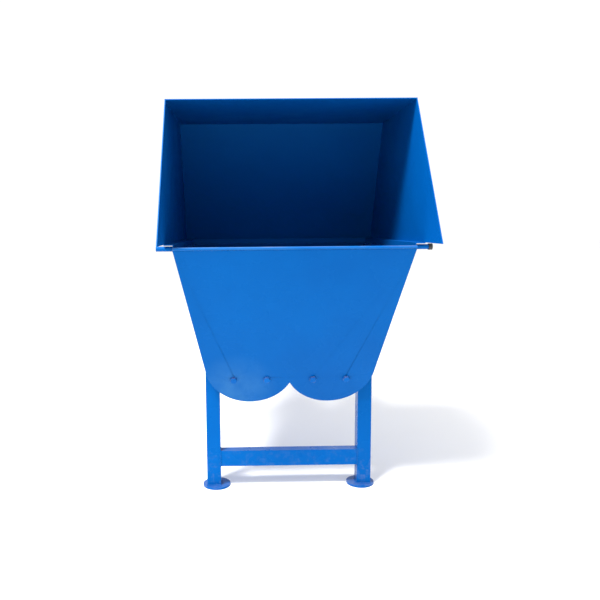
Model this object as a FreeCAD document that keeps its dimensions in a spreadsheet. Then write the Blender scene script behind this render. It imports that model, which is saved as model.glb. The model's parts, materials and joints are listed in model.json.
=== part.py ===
import FreeCAD, Part
import math
import os
import re
import Sketcher

# Twin-screw grain auger: an open intake hopper with a dust hood at the low end, two screws that
# climb at the same angle in closed tubes, and a belt-driven discharge head at the top.
# Millimetres. X to the right, Y from the intake to the discharge end, Z up.
# The origin lies on the floor, at the middle of the machine's length and width.
# Most pieces are drawn in the screw frame: x across, s up along the screws, n square to both,
# with its zero at the middle of the hopper's front top edge.

SIZES = {
    # stance
    "screw_slope": 25,
    "rim_height": 878,
    "front_leg_back": 262,
    "rear_leg_gap": 84,
    "leg_side": 50,
    "leg_wall": 3,
    "leg_reveal": 3,
    "front_leg_drop": 398,
    "beam_gap": 41,
    "foot_radius": 50,
    "foot_thickness": 8,
    "foot_inset": 9,
    "front_crossbar_low": 80,
    "rear_crossbar_low": 300,
    "crossbar_tall": 58,
    "crossbar_deep": 40,
    "saddle_thickness": 6,
    # hopper
    "rim_half_width": 380,
    "rim_depth": 810,
    "plate_thickness": 5,
    "plate_margin": 3,
    "sheet": 3,
    "lobe_drop": 456,
    "lobe_margin": 17,
    "rim_bar_radius": 5,
    "collar_height": 19,
    "pin_radius": 8,
    "pin_length": 53,
    "pin_back": 14,
    "cap_length": 12,
    "cap_wall": 2,
    # hood
    "ledge_width": 28,
    "hood_top": 479,
    "hood_reach": 163,
    "hood_setback": 133,
    "hood_back_ledge": 24,
    # screws
    "gear_module": 5,
    "gear_teeth": 56,
    "shaft_radius": 15,
    "core_radius": 24,
    "core_wall": 4,
    "plug_length": 60,
    "core_start": 62,
    "core_back": 15,
    "shaft_gap": 3,
    "shaft_proud": 3,
    "flight_radius": 92,
    "flight_sheet": 4,
    "flight_pitch": 180,
    "flight_start": 76,
    "flight_gap": 5,
    "tube_wall": 3,
    # bearings and their bolts
    "bearing_bolt_half": 58.5,
    "bearing_flange": 13,
    "bearing_depth": 30,
    "bearing_boss": 42,
    "boss_step": 4,
    "bearing_ear": 17,
    "insert_radius": 31,
    "insert_collar": 22,
    "insert_length": 36,
    "insert_inset": 1,
    "bolt_radius": 7,
    "bolt_head": 9,
    "bolt_across": 12.1,
    "nut_thickness": 11,
    "bolt_proud": 4,
    # discharge head
    "tube_length": 965,
    "head_length": 230,
    "head_room_side": 15,
    "head_room_above": 25,
    "head_room_below": 30,
    "cover_lip": 7,
    "cover_screw_inset": 25,
    "screw_radius": 4,
    "spout_half_width": 150,
    "spout_depth": 150,
    "spout_outlet_height": 880,
    "spout_margin": 30,
    "flange_width": 30,
    "flange_thickness": 6,
    "flange_hole": 5.5,
    # drive
    "drive_plate": 6,
    "guard_room": 15,
    "plate_room": 10,
    "gear_gap": 10,
    "gear_width": 30,
    "gear_backlash": 0.6,
    "pulley_gap": 8,
    "pulley_width": 25,
    "auger_pulley_radius": 100,
    "motor_pulley_radius": 40,
    "belt_top": 13,
    "belt_height": 9,
    "belt_land": 7,
    "belt_inset": 0.5,
    "groove_floor": 2,
    "motor_gap": 12,
    "motor_radius": 80,
    "motor_flange_radius": 100,
    "motor_flange": 12,
    "motor_length": 210,
    "motor_shaft_radius": 12,
    "motor_shaft_tail": 12,
    "motor_shaft_proud": 2,
    "motor_seal_gap": 3,
    "motor_spigot_gap": 8,
    "fan_cover_length": 55,
    "terminal_start": 40,
    "terminal_width": 90,
    "terminal_height": 38,
    "guard_depth": 150,
    "guard_sheet": 2,
    # clearances
    "seat_gap": 0.3,
    "running_gap": 0.05,
}

doc = FreeCAD.newDocument("GrainAuger")
sheet = doc.addObject("Spreadsheet::Sheet", "Sheet")
for row, (alias, size) in enumerate(SIZES.items(), start=1):
    sheet.set(f"A{row}", str(size))
    sheet.setAlias(f"A{row}", alias)
doc.recompute()

NAMES = re.compile(r"\b(" + "|".join(sorted(SIZES, key=len, reverse=True)) + r")\b")


def bound(expression):
    """An expression with each size's name pointing at its cell in the sheet."""
    return NAMES.sub(r"Sheet.\1", expression)


def val(expression):
    """The number that an expression comes to."""
    result = sheet.evalExpression(bound(str(expression)))
    return float(getattr(result, "Value", result))


# Sizes and places that several pieces share, all worked out from the sheet.
SHAFT_X = "(gear_module * gear_teeth / 2)"
GEAR_TIP = "(gear_module * (gear_teeth / 2 + 1))"
TUBE_RADIUS = "(flight_radius + flight_gap)"
TUBE_OUTER = f"({TUBE_RADIUS} + tube_wall)"
LOBE_RADIUS = f"({SHAFT_X} + lobe_margin)"
TROUGH_RADIUS = f"({LOBE_RADIUS} - plate_margin)"
SHAFT_DROP = f"(lobe_drop + {TROUGH_RADIUS} - sheet - {TUBE_RADIUS})"
HOOD_HALF = "(rim_half_width + ledge_width)"
LEG_OUTER = f"({SHAFT_X} + {LOBE_RADIUS} + leg_reveal)"
HEAD_HALF = f"({SHAFT_X} + {TUBE_OUTER} + head_room_side)"
HEAD_ABOVE = f"({TUBE_OUTER} + head_room_above)"
HEAD_BELOW = f"({TUBE_OUTER} + head_room_below)"
MOTOR_RISE = f"({HEAD_ABOVE} + sheet + motor_flange_radius + motor_gap)"
DRIVE_HALF = f"({SHAFT_X} + {GEAR_TIP} + guard_room)"
DRIVE_BELOW = f"({GEAR_TIP} + guard_room)"
DRIVE_ABOVE = f"({MOTOR_RISE} + motor_flange_radius + plate_room)"
REAR_PLATE_S = "(rim_depth * cos(screw_slope) - plate_thickness)"
TUBE_S = f"({REAR_PLATE_S} + plate_thickness)"
HEAD_S = f"({TUBE_S} + tube_length)"
DRIVE_S = f"({HEAD_S} + head_length)"
BEARING_S = f"({DRIVE_S} + drive_plate)"
GEAR_S = f"({BEARING_S} + insert_length + gear_gap)"
PULLEY_S = f"({GEAR_S} + gear_width + pulley_gap)"
CORE_END = f"({DRIVE_S} - core_back)"
HEAD_FOOT_Y = f"({DRIVE_S} * cos(screw_slope) + ({SHAFT_DROP} + {HEAD_BELOW}) * sin(screw_slope))"
SPOUT_BACK = f"({HEAD_FOOT_Y} - spout_margin)"
REAR_LEG = f"({SPOUT_BACK} - spout_depth - flange_width - rear_leg_gap - leg_side)"
SADDLE_Y = f"({REAR_LEG} + leg_side / 2 - saddle_thickness / 2)"
SADDLE_S = f"(({SADDLE_Y} - {SHAFT_DROP} * sin(screw_slope)) / cos(screw_slope))"
SADDLE_TOP = f"({SADDLE_S} * sin(screw_slope) - {SHAFT_DROP} * cos(screw_slope))"
BEAM_TOP = f"({SADDLE_TOP} - {TUBE_OUTER} / cos(screw_slope) - beam_gap)"
GUARD_S = f"({BEARING_S} + guard_depth)"
REAR_END = f"({GUARD_S} * cos(screw_slope) + ({SHAFT_DROP} + {DRIVE_BELOW}) * sin(screw_slope))"
RIM_Y = f"((hood_reach - {REAR_END}) / 2)"
MOTOR_N = f"({MOTOR_RISE} - {SHAFT_DROP})"
SHAFT_N = f"-{SHAFT_DROP}"

X_AXIS = FreeCAD.Vector(1, 0, 0)
RIM = FreeCAD.Placement(FreeCAD.Vector(0, val(RIM_Y), val("rim_height")), FreeCAD.Rotation())
SCREW = FreeCAD.Placement(RIM.Base, FreeCAD.Rotation(X_AXIS, val("screw_slope")))
ALONG_S = FreeCAD.Rotation(X_AXIS, -90)

nodes = {}


def place(frame, x, y, z, turn=None):
    """A point of a frame, with its own turn."""
    here = FreeCAD.Vector(val(x), val(y), val(z))
    return frame.multiply(FreeCAD.Placement(here, turn or FreeCAD.Rotation()))


def keep(piece, label):
    """Files a finished piece under its own name."""
    piece.Label = label
    nodes[label] = piece
    return piece


def solid(kind, name, placement, **sizes):
    """A Part primitive whose sizes are bound to the sheet."""
    piece = doc.addObject(kind, name)
    for size, expression in sizes.items():
        piece.setExpression(size, bound(expression))
    piece.Placement = placement
    return piece


def block(name, frame, low, high):
    """A box between two corners of a frame, each corner given by expressions."""
    spans = [f"({b}) - ({a})" for a, b in zip(low, high)]
    return solid("Part::Box", name, place(frame, *low), Length=spans[0], Width=spans[1], Height=spans[2])


def rod(name, frame, x, s, n, radius, length):
    """A round bar that runs along the screws, or along Y in an upright frame."""
    return solid("Part::Cylinder", name, place(frame, x, s, n, ALONG_S), Radius=radius, Height=length)


def drilled(name, x, s, n, radius, wall):
    """What a drill takes away from a wall that starts at s, square to the screws."""
    return rod(name, SCREW, x, f"{s} - ({wall})", n, radius, f"3 * ({wall})")


def union(name, pieces):
    """One solid of several that meet."""
    whole = doc.addObject("Part::MultiFuse", name)
    whole.Shapes = pieces
    return whole


def group(name, pieces):
    """Several like solids kept together and apart from each other."""
    together = doc.addObject("Part::Compound", name)
    together.Links = pieces
    return together


def minus(name, base, tools):
    """A piece with other shapes cut out of it."""
    cut = doc.addObject("Part::Cut", name)
    cut.Base = base
    cut.Tool = tools[0] if len(tools) == 1 else union(name + "_tools", tools)
    return cut


def origin_feature(body, role):
    return next(part for part in body.Origin.OriginFeatures if part.Role == role)


def new_sketch(body, role):
    """An empty sketch on one of a body's own planes."""
    drawing = body.newObject("Sketcher::SketchObject", body.Name + "_sketch")
    drawing.AttachmentSupport = (origin_feature(body, role), [""])
    drawing.MapMode = "FlatFace"
    return drawing


def pin_point(drawing, geometry, end, x, y):
    """Ties one end of a line, or a centre, to its place from the sheet."""
    for kind, axis, expression in (("DistanceX", -2, x), ("DistanceY", -1, y)):
        if expression is None:
            continue
        distance = val(expression)
        if abs(distance) < 1e-9:
            drawing.addConstraint(Sketcher.Constraint("PointOnObject", geometry, end, axis))
            continue
        index = drawing.addConstraint(Sketcher.Constraint(kind, -1, 1, geometry, end, distance))
        drawing.setExpression(f"Constraints[{index}]", bound(expression))


def draw_polygon(drawing, points):
    """A closed outline of straight lines through points given by expressions."""
    corners = [FreeCAD.Vector(val(x), val(y), 0) for x, y in points]
    first = drawing.GeometryCount
    for here, there in zip(corners, corners[1:] + corners[:1]):
        drawing.addGeometry(Part.LineSegment(here, there), False)
    for step in range(len(points)):
        after = (step + 1) % len(points)
        drawing.addConstraint(Sketcher.Constraint("Coincident", first + step, 2, first + after, 1))
        pin_point(drawing, first + step, 1, *points[step])


def draw_circle(drawing, x, y, radius):
    """A hole or a round outline."""
    centre = FreeCAD.Vector(val(x), val(y), 0)
    ring = drawing.addGeometry(Part.Circle(centre, FreeCAD.Vector(0, 0, 1), val(radius)), False)
    index = drawing.addConstraint(Sketcher.Constraint("Radius", ring, val(radius)))
    drawing.setExpression(f"Constraints[{index}]", bound(radius))
    pin_point(drawing, ring, 3, x, y)


def pad(body, drawing, length, backwards=False):
    """Thickens a sketch."""
    plate = body.newObject("PartDesign::Pad", body.Name + "_pad")
    plate.Profile = drawing
    plate.setExpression("Length", bound(length))
    plate.Reversed = backwards
    drawing.Visibility = False
    return plate


def turned(label, placement, points):
    """A piece made on a lathe: (along, radius) points turned about the frame's own Y line."""
    body = doc.addObject("PartDesign::Body", label)
    drawing = new_sketch(body, "YZ_Plane")
    draw_polygon(drawing, points)
    spin = body.newObject("PartDesign::Revolution", label + "_turn")
    spin.Profile = drawing
    spin.ReferenceAxis = (origin_feature(body, "Y_Axis"), [""])
    spin.Angle = 360
    body.Placement = placement
    return body


def sheet_plate(label, points, thickness, placement, plane="YZ_Plane"):
    """A flat plate with a straight-sided outline."""
    body = doc.addObject("PartDesign::Body", label)
    drawing = new_sketch(body, plane)
    draw_polygon(drawing, points)
    pad(body, drawing, thickness)
    body.Placement = placement
    return keep(body, label)


def mirrored_x(sign, expression):
    """The same distance to the right (1) or to the left (-1) of the centre plane."""
    return expression if sign > 0 else f"-({expression})"


SIDES = (("left", -1), ("right", 1))

# ---- hopper -------------------------------------------------------------------------------------

# The angle of the hopper's side edge to the plumb of the plate, where it runs onto the lobe.
EDGE_RUN = f"(rim_half_width - {SHAFT_X})"
EDGE_ANGLE = f"(acos({LOBE_RADIUS} / sqrt({EDGE_RUN}^2 + lobe_drop^2)) - atan(lobe_drop / {EDGE_RUN}))"


def lobed_plate(label, top_half_width, top_n, s, holes):
    """A plate with the double-lobed outline of the trough, square to the screws."""
    body = doc.addObject("PartDesign::Body", label)
    drawing = new_sketch(body, "XZ_Plane")
    radius = val(LOBE_RADIUS)
    reach = val(SHAFT_X)
    drop = -val("lobe_drop")
    low_angle = math.radians(val(EDGE_ANGLE))
    cusp_angle = math.acos(reach / radius)
    right_centre = FreeCAD.Vector(reach, drop, 0)
    left_centre = FreeCAD.Vector(-reach, drop, 0)
    right_ring = Part.Circle(right_centre, FreeCAD.Vector(0, 0, 1), radius)
    left_ring = Part.Circle(left_centre, FreeCAD.Vector(0, 0, 1), radius)
    right_arc = Part.ArcOfCircle(right_ring, math.pi + cusp_angle, 2 * math.pi - low_angle)
    left_arc = Part.ArcOfCircle(left_ring, math.pi + low_angle, 2 * math.pi - cusp_angle)
    right_top = FreeCAD.Vector(val(top_half_width), val(top_n), 0)
    left_top = FreeCAD.Vector(-val(top_half_width), val(top_n), 0)
    drawing.addGeometry(Part.LineSegment(left_top, right_top), False)
    drawing.addGeometry(Part.LineSegment(right_top, right_arc.EndPoint), False)
    drawing.addGeometry(right_arc, False)
    drawing.addGeometry(left_arc, False)
    drawing.addGeometry(Part.LineSegment(left_arc.StartPoint, left_top), False)
    for first, first_end, second, second_end in (
        (0, 2, 1, 1),
        (1, 2, 2, 2),
        (2, 1, 3, 2),
        (3, 1, 4, 1),
        (4, 2, 0, 1),
    ):
        drawing.addConstraint(Sketcher.Constraint("Coincident", first, first_end, second, second_end))
    pin_point(drawing, 0, 1, f"-({top_half_width})", top_n)
    pin_point(drawing, 0, 2, top_half_width, top_n)
    pin_point(drawing, 2, 3, SHAFT_X, "-lobe_drop")
    pin_point(drawing, 3, 3, f"-{SHAFT_X}", "-lobe_drop")
    for arc in (2, 3):
        index = drawing.addConstraint(Sketcher.Constraint("Radius", arc, radius))
        drawing.setExpression(f"Constraints[{index}]", bound(LOBE_RADIUS))
    tangent_n = f"-(lobe_drop + {LOBE_RADIUS} * sin({EDGE_ANGLE}))"
    pin_point(drawing, 1, 2, None, tangent_n)
    pin_point(drawing, 4, 1, None, tangent_n)
    for x, hole_radius in holes:
        draw_circle(drawing, x, SHAFT_N, hole_radius)
    pad(body, drawing, "plate_thickness", backwards=True)
    body.Placement = place(SCREW, "0", s, "0")
    return keep(body, label)


bolt_places = [
    f"{mirrored_x(sign, SHAFT_X)} + ({offset})"
    for _, sign in SIDES
    for offset in ("-bearing_bolt_half", "bearing_bolt_half")
]
BOLT_HOLE = "bolt_radius + seat_gap"
lobed_plate("front_plate", "rim_half_width", "0", "0", [(x, BOLT_HOLE) for x in bolt_places])
lobed_plate(
    "hopper_rear_plate",
    "rim_half_width",
    f"-{TUBE_S} * tan(screw_slope)",
    REAR_PLATE_S,
    [(mirrored_x(sign, SHAFT_X), TUBE_RADIUS) for _, sign in SIDES],
)

rim_bar = solid(
    "Part::Cylinder",
    "front_rim_bar",
    place(SCREW, "-rim_half_width", "plate_thickness / 2", "rim_bar_radius", FreeCAD.Rotation(0, 90, 0)),
    Radius="rim_bar_radius",
    Height="2 * rim_half_width",
)
keep(rim_bar, "front_rim_bar")

# Each trough is one rolled sheet, from the side wall round to the ridge between the screws: it is
# rolled on past its lowest line and then trimmed at the centre plane.
TROUGH_SPAN = f"({REAR_PLATE_S} - plate_thickness)"
ROLLED_PAST = "80deg"
for side, sign in SIDES:
    sweep = f"90deg - {EDGE_ANGLE} + {ROLLED_PAST}"
    start = val(EDGE_ANGLE)
    turn_up = FreeCAD.Rotation(FreeCAD.Vector(0, 1, 0), start if sign > 0 else 180 - start - val(sweep))
    spot = place(SCREW, mirrored_x(sign, SHAFT_X), "plate_thickness", "-lobe_drop", turn_up.multiply(ALONG_S))
    outer = solid(
        "Part::Cylinder",
        f"trough_{side}_outer",
        spot,
        Radius=TROUGH_RADIUS,
        Height=TROUGH_SPAN,
        Angle=sweep,
    )
    inner = rod(
        f"trough_{side}_inner",
        SCREW,
        mirrored_x(sign, SHAFT_X),
        "0",
        "-lobe_drop",
        f"{TROUGH_RADIUS} - sheet",
        f"{REAR_PLATE_S} + plate_thickness",
    )
    past = block(
        f"trough_{side}_far_half",
        SCREW,
        (f"-{LOBE_RADIUS}" if sign > 0 else "-seat_gap / 2", "0", f"-lobe_drop - 2 * {LOBE_RADIUS}"),
        ("seat_gap / 2" if sign > 0 else LOBE_RADIUS, f"{REAR_PLATE_S} + plate_thickness", "0"),
    )
    keep(minus(f"trough_{side}", outer, [inner, past]), f"trough_{side}")


def facet(corners, thickness):
    """A three-cornered piece of sheet, thickened away from the grain."""
    face = Part.Face(Part.makePolygon(corners + corners[:1]))
    across = (corners[1] - corners[0]).cross(corners[2] - corners[0])
    across.normalize()
    outward = across if across.x * corners[0].x > 0 else across * -1
    return face.extrude(outward * thickness)


# Each side wall is one sheet with a diagonal fold: its lower half follows the screws, and its
# upper half brings the rim level and straight.
for side, sign in SIDES:
    front_s = val("plate_thickness")
    rear_s = val(REAR_PLATE_S)
    slope = math.tan(math.radians(val("screw_slope")))
    edge = math.radians(val(EDGE_ANGLE))
    inner_radius = val(f"{TROUGH_RADIUS} - sheet")
    rim_x = sign * (val("rim_half_width") - val("sheet"))
    gap = val("seat_gap")
    low_x = sign * (val(SHAFT_X) + inner_radius * math.cos(edge) + gap * math.sin(edge))
    low_n = -(val("lobe_drop") + inner_radius * math.sin(edge)) + gap * math.cos(edge)
    rim_front = FreeCAD.Vector(rim_x, front_s, -front_s * slope)
    rim_rear = FreeCAD.Vector(rim_x, rear_s, -rear_s * slope)
    low_front = FreeCAD.Vector(low_x, front_s, low_n)
    low_rear = FreeCAD.Vector(low_x, rear_s, low_n)
    lower = facet([rim_front, low_front, low_rear], val("sheet"))
    upper = facet([rim_front, low_rear, rim_rear], val("sheet"))
    wall = doc.addObject("Part::Feature", f"hopper_side_{side}")
    wall.Shape = lower.fuse(upper).removeSplitter()
    wall.Placement = SCREW
    keep(wall, f"hopper_side_{side}")

# The collar stands on the rim on three sides and folds outward into the ledge that carries the hood.
RIM_START = "(plate_thickness / cos(screw_slope) + rim_bar_radius)"
LEDGE_Y = "(rim_depth + hood_back_ledge)"
collar_wall = block(
    "collar_wall",
    RIM,
    ("-rim_half_width", RIM_START, "seat_gap"),
    ("rim_half_width", "rim_depth", "collar_height"),
)
collar_ledge = block(
    "collar_ledge",
    RIM,
    (f"-{HOOD_HALF}", RIM_START, "collar_height - sheet"),
    (HOOD_HALF, LEDGE_Y, "collar_height"),
)
collar_opening = block(
    "collar_opening",
    RIM,
    ("-rim_half_width + sheet", "0", "-collar_height"),
    ("rim_half_width - sheet", "rim_depth - sheet", "2 * collar_height"),
)
collar = minus("rim_collar", union("collar_sheet", [collar_wall, collar_ledge]), [collar_opening])
keep(collar, "rim_collar")

# A short round pin stands out of the collar on each side, close to the front corner.
PIN_N = "(collar_height - sheet - pin_radius - cap_wall - seat_gap)"
pins = []
for side, sign in SIDES:
    out = FreeCAD.Rotation(0, 90 * sign, 0)
    spot = place(RIM, mirrored_x(sign, "rim_half_width"), f"{RIM_START} + pin_back", PIN_N, out)
    bare = "pin_length" if sign < 0 else "pin_length - cap_wall"
    pins.append(solid("Part::Cylinder", f"rim_pin_{side}", spot, Radius="pin_radius", Height=bare))
keep(group("rim_pins", pins), "rim_pins")
cap_outer = solid(
    "Part::Cylinder",
    "rim_pin_cap_outer",
    place(RIM, "rim_half_width + pin_length - cap_length", f"{RIM_START} + pin_back", PIN_N, out),
    Radius="pin_radius + cap_wall",
    Height="cap_length",
)
cap_bore = solid(
    "Part::Cylinder",
    "rim_pin_cap_bore",
    place(RIM, "rim_half_width + pin_length - 2 * cap_length", f"{RIM_START} + pin_back", PIN_N, out),
    Radius="pin_radius + running_gap",
    Height="2 * cap_length - cap_wall",
)
keep(minus("rim_pin_cap", cap_outer, [cap_bore]), "rim_pin_cap")

# ---- hood ---------------------------------------------------------------------------------------

# Flat side sheets stand on the ledge; the back leans like the hopper's end plates.
HOOD_LEAN = "((hood_top - collar_height) * tan(screw_slope))"
side_outline = [
    ("-hood_reach", "collar_height"),
    (LEDGE_Y, "collar_height"),
    (f"{LEDGE_Y} - {HOOD_LEAN}", "hood_top"),
    ("hood_setback", "hood_top"),
]
sheet_plate("hood_side_left", side_outline, "sheet", place(RIM, f"-{HOOD_HALF}", "0", "0"))
sheet_plate("hood_side_right", side_outline, "sheet", place(RIM, f"{HOOD_HALF} - sheet", "0", "0"))
BACK_RUN = "(sheet / cos(screw_slope))"
back_outline = [
    (f"{LEDGE_Y} - {BACK_RUN}", "collar_height"),
    (LEDGE_Y, "collar_height"),
    (f"{LEDGE_Y} - {HOOD_LEAN}", "hood_top"),
    (f"{LEDGE_Y} - {HOOD_LEAN} - {BACK_RUN}", "hood_top"),
]
sheet_plate(
    "hood_back", back_outline, f"2 * ({HOOD_HALF} - sheet)", place(RIM, f"-{HOOD_HALF} + sheet", "0", "0")
)
roof = block(
    "hood_roof",
    RIM,
    (f"-{HOOD_HALF}", "hood_setback", "hood_top"),
    (HOOD_HALF, f"{LEDGE_Y} - {HOOD_LEAN}", "hood_top + sheet"),
)
keep(roof, "hood_roof")

# ---- screws -------------------------------------------------------------------------------------


def shaft_frame(sign, s="0"):
    """A frame on one screw's own line."""
    return place(SCREW, mirrored_x(sign, SHAFT_X), s, SHAFT_N)


FRONT_END = "(plate_thickness + shaft_gap)"
SHAFT_END = {
    "left": f"({GEAR_S} + gear_width + shaft_proud)",
    "right": f"({PULLEY_S} + pulley_width + shaft_proud)",
}
PLUG = "(core_radius - core_wall - running_gap)"
for side, sign in SIDES:
    line = shaft_frame(sign)
    core_outline = [
        ("core_start", "core_radius - core_wall"),
        (CORE_END, "core_radius - core_wall"),
        (CORE_END, "core_radius"),
        ("core_start", "core_radius"),
    ]
    keep(turned(f"screw_core_{side}", line, core_outline), f"screw_core_{side}")
    front_outline = [
        (FRONT_END, "0"),
        ("core_start + plug_length", "0"),
        ("core_start + plug_length", PLUG),
        ("core_start", PLUG),
        ("core_start", "shaft_radius"),
        (FRONT_END, "shaft_radius"),
    ]
    front_stub = turned(f"screw_stub_front_{side}", line, front_outline)
    rear_outline = [
        (f"{CORE_END} - plug_length", "0"),
        (SHAFT_END[side], "0"),
        (SHAFT_END[side], "shaft_radius"),
        (CORE_END, "shaft_radius"),
        (CORE_END, PLUG),
        (f"{CORE_END} - plug_length", PLUG),
    ]
    rear_stub = turned(f"screw_stub_rear_{side}", line, rear_outline)
    keep(group(f"screw_stubs_{side}", [front_stub, rear_stub]), f"screw_stubs_{side}")

# The flights are strips wound on edge round the cores, one hand on each screw.
for side, sign in SIDES:
    tall = val(f"{HEAD_S} + head_length / 2 - flight_start")
    inner = val("core_radius + running_gap")
    outer = val("flight_radius")
    half = val("flight_sheet / 2")
    spine = Part.makeHelix(val("flight_pitch"), tall, outer, 0, sign < 0)
    edges = ((inner, -half), (outer, -half), (outer, half), (inner, half))
    corners = [FreeCAD.Vector(radius, 0, height) for radius, height in edges]
    section = Part.makePolygon(corners + corners[:1])
    strip = spine.makePipeShell([section], True, True)
    flight = doc.addObject("Part::Feature", f"screw_flight_{side}")
    flight.Shape = strip
    upward = FreeCAD.Placement(FreeCAD.Vector(), ALONG_S)
    flight.Placement = shaft_frame(sign, "flight_start").multiply(upward)
    keep(flight, f"screw_flight_{side}")

# ---- bearings -----------------------------------------------------------------------------------


def hex_bolt(name, frame, x, s, n, length):
    """A bolt whose head stands in front of s and whose shank runs back from it."""
    head = solid(
        "Part::Prism",
        name + "_head",
        place(frame, x, f"({s}) - bolt_head", n, ALONG_S),
        Circumradius="bolt_across",
        Height="bolt_head",
    )
    head.Polygon = 6
    shank = rod(name + "_shank", frame, x, s, n, "bolt_radius", length)
    return union(name, [head, shank])


def bearing_housing(label, sign, s):
    """A two-bolt flange housing, square to the screw."""
    centre = mirrored_x(sign, SHAFT_X)
    boss = rod(label + "_boss", SCREW, centre, s, SHAFT_N, "bearing_boss - boss_step", "bearing_depth")
    base = rod(label + "_base", SCREW, centre, s, SHAFT_N, "bearing_boss", "bearing_flange")
    solids = [boss, base]
    holes = [drilled(label + "_bore", centre, s, SHAFT_N, "insert_radius + running_gap", "bearing_depth")]
    for end, offset in (("near", "-bearing_bolt_half"), ("far", "bearing_bolt_half")):
        spot = f"{centre} + ({offset})"
        solids.append(rod(f"{label}_ear_{end}", SCREW, spot, s, SHAFT_N, "bearing_ear", "bearing_flange"))
        holes.append(drilled(f"{label}_hole_{end}", spot, s, SHAFT_N, BOLT_HOLE, "bearing_flange"))
    web = block(
        label + "_web",
        SCREW,
        (f"{centre} - bearing_bolt_half", s, f"-{SHAFT_DROP} - bearing_ear"),
        (f"{centre} + bearing_bolt_half", f"{s} + bearing_flange", f"-{SHAFT_DROP} + bearing_ear"),
    )
    return keep(minus(label, union(label + "_casting", solids + [web]), holes), label)


for side, sign in SIDES:
    bearing_housing(f"front_bearing_housing_{side}", sign, "plate_thickness")
    bearing_housing(f"rear_bearing_housing_{side}", sign, BEARING_S)
    inserts = []
    for end, start in (("front", "plate_thickness + insert_inset"), ("rear", f"{BEARING_S} + insert_inset")):
        insert_outline = [
            (start, "shaft_radius + running_gap"),
            (f"{start} + insert_length", "shaft_radius + running_gap"),
            (f"{start} + insert_length", "insert_collar"),
            (f"{start} + bearing_depth - 2 * insert_inset", "insert_collar"),
            (f"{start} + bearing_depth - 2 * insert_inset", "insert_radius"),
            (start, "insert_radius"),
        ]
        inserts.append(turned(f"bearing_insert_{end}_{side}", shaft_frame(sign), insert_outline))
    keep(group(f"bearing_inserts_{side}", inserts), f"bearing_inserts_{side}")

NUT_S = "plate_thickness + bearing_flange"
FRONT_GRIP = "plate_thickness + bearing_flange + nut_thickness + bolt_proud"
front_bolts = [
    hex_bolt(f"front_bolt_{i}", SCREW, x, "0", SHAFT_N, FRONT_GRIP) for i, x in enumerate(bolt_places)
]
keep(group("front_bearing_bolts", front_bolts), "front_bearing_bolts")
front_nuts = []
for i, x in enumerate(bolt_places):
    spot = place(SCREW, x, NUT_S, SHAFT_N, ALONG_S)
    nut = solid(
        "Part::Prism", f"front_nut_{i}_body", spot, Circumradius="bolt_across", Height="nut_thickness"
    )
    nut.Polygon = 6
    thread = "bolt_radius + running_gap"
    bore = drilled(f"front_nut_{i}_bore", x, NUT_S, SHAFT_N, thread, "nut_thickness")
    front_nuts.append(minus(f"front_nut_{i}", nut, [bore]))
keep(group("front_bearing_nuts", front_nuts), "front_bearing_nuts")
REAR_GRIP = "drive_plate + bearing_flange + nut_thickness + bolt_proud"
rear_bolts = [
    hex_bolt(f"rear_bolt_{i}", SCREW, x, DRIVE_S, SHAFT_N, REAR_GRIP) for i, x in enumerate(bolt_places)
]
keep(group("rear_bearing_bolts", rear_bolts), "rear_bearing_bolts")

# ---- tubes and discharge head -------------------------------------------------------------------

for side, sign in SIDES:
    tube_outline = [
        (TUBE_S, TUBE_RADIUS),
        (HEAD_S, TUBE_RADIUS),
        (HEAD_S, TUBE_OUTER),
        (TUBE_S, TUBE_OUTER),
    ]
    keep(turned(f"screw_tube_{side}", shaft_frame(sign), tube_outline), f"screw_tube_{side}")

HEAD_TOP = f"({HEAD_ABOVE} - {SHAFT_DROP})"
HEAD_LOW = f"(-{SHAFT_DROP} - {HEAD_BELOW})"
SPOUT_Z = "(spout_outlet_height - rim_height)"
spout_hole = block(
    "spout_hole",
    RIM,
    ("-spout_half_width + sheet", f"{SPOUT_BACK} - spout_depth + sheet", SPOUT_Z),
    ("spout_half_width - sheet", f"{SPOUT_BACK} - sheet", "hood_top"),
)
casing_outer = block(
    "head_casing_outer",
    SCREW,
    (f"-{HEAD_HALF}", f"{HEAD_S} + plate_thickness", HEAD_LOW),
    (HEAD_HALF, DRIVE_S, HEAD_TOP),
)
casing_inner = block(
    "head_casing_inner",
    SCREW,
    (f"-{HEAD_HALF} + sheet", HEAD_S, f"{HEAD_LOW} + sheet"),
    (f"{HEAD_HALF} - sheet", f"{DRIVE_S} + sheet", f"{HEAD_TOP} + sheet"),
)
keep(minus("head_casing", casing_outer, [casing_inner, spout_hole]), "head_casing")
head_wall = block(
    "head_front_wall",
    SCREW,
    (f"-{HEAD_HALF}", HEAD_S, HEAD_LOW),
    (HEAD_HALF, f"{HEAD_S} + plate_thickness", HEAD_TOP),
)
tube_holes = [
    drilled(f"head_hole_{side}", mirrored_x(sign, SHAFT_X), HEAD_S, SHAFT_N, TUBE_RADIUS, "plate_thickness")
    for side, sign in SIDES
]
keep(minus("head_front_plate", head_wall, tube_holes), "head_front_plate")
cover = block(
    "head_cover",
    SCREW,
    (f"-{HEAD_HALF} - cover_lip", f"{HEAD_S} - cover_lip", HEAD_TOP),
    (f"{HEAD_HALF} + cover_lip", f"{DRIVE_S} - seat_gap", f"{HEAD_TOP} + sheet"),
)
keep(cover, "head_cover")
screws = []
COVER_SCREW_X = f"({HEAD_HALF} - cover_screw_inset)"
for column, x in enumerate((f"-{COVER_SCREW_X}", "0", COVER_SCREW_X)):
    screws.append(
        solid(
            "Part::Cylinder",
            f"cover_screw_{column}",
            place(SCREW, x, f"{HEAD_S} + plate_thickness / 2", f"{HEAD_TOP} + sheet"),
            Radius="2 * screw_radius",
            Height="screw_radius",
        )
    )
keep(group("head_cover_screws", screws), "head_cover_screws")

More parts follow.
